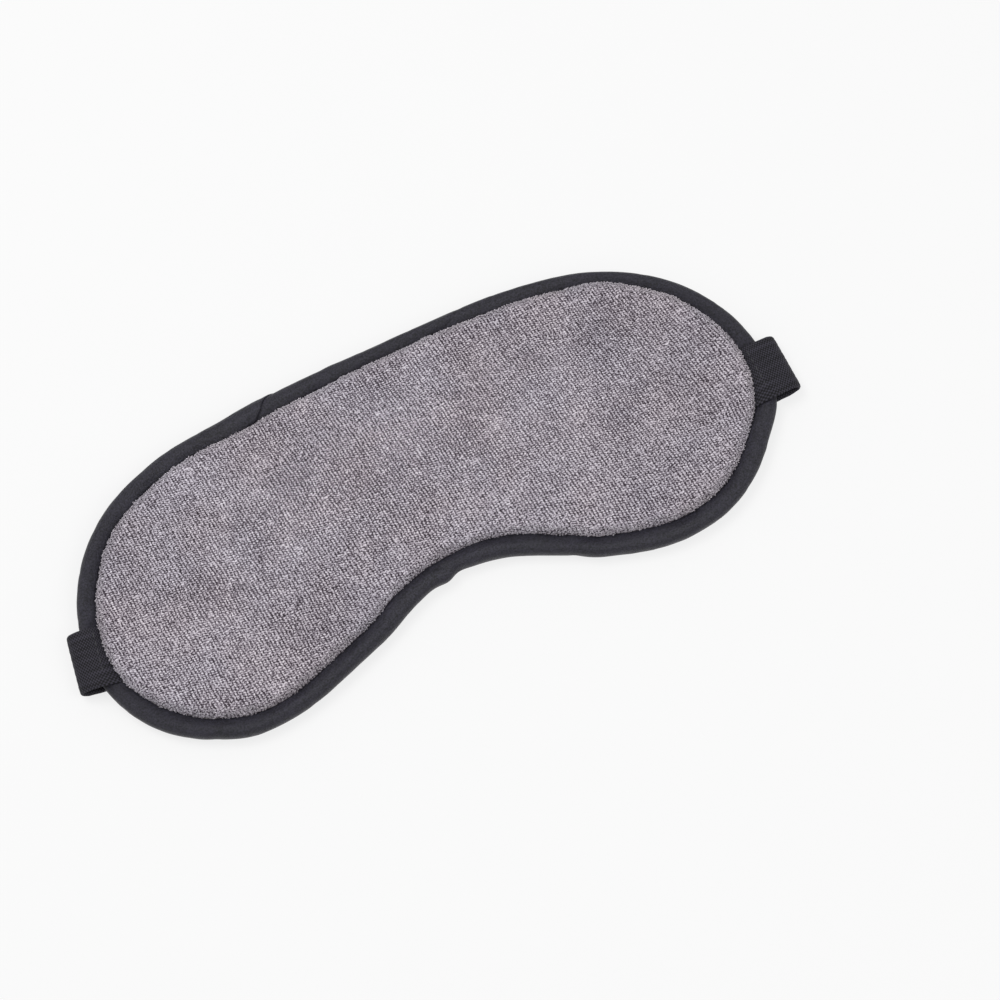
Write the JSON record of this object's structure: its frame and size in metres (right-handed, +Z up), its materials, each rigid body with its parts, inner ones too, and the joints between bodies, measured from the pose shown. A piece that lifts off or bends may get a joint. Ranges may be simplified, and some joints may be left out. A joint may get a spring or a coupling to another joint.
{
  "type": "sleep eye mask",
  "caption": "Padded sleep eye mask with a terry face, a bound edge, a nose notch and an elastic head strap folded back under it.",
  "frame": {"origin": "middle of the length and of the height, on the surface that the mask lies on", "axes": "+X along the mask's length, +Y towards the brow edge (the nose notch opens towards -Y), +Z up and out of the terry face"},
  "size_m": [0.2104, 0.0854, 0.0082],
  "materials": {
    "terry_cloth": "grey loop-pile terry",
    "foam": "open-cell polyurethane foam",
    "liner_cloth": "thin opaque black cloth",
    "back_cloth": "smooth woven polyester, slight sheen",
    "binding_tape": "satin polyester bias tape, charcoal",
    "elastic": "knitted elastic, near black",
    "thread": "dark polyester thread"
  },
  "bodies": {
    "strap": {"strap_run": "elastic"},
    "mask": {"terry_panel": "terry_cloth", "foam_pad": "foam", "blackout_liner": "liner_cloth", "back_panel": "back_cloth", "edge_binding": "binding_tape", "binding_stitches": "thread", "strap_end_left": "elastic", "strap_end_right": "elastic", "strap_tack_left": "thread", "strap_tack_right": "thread"}
  },
  "joints": [
    {"name": "strap_pull", "type": "slide", "parent": "strap", "child": "mask", "axis": [0, 0, 1], "range_m": [0, 0.12], "stiffness_N_per_m": 25}
  ]
}
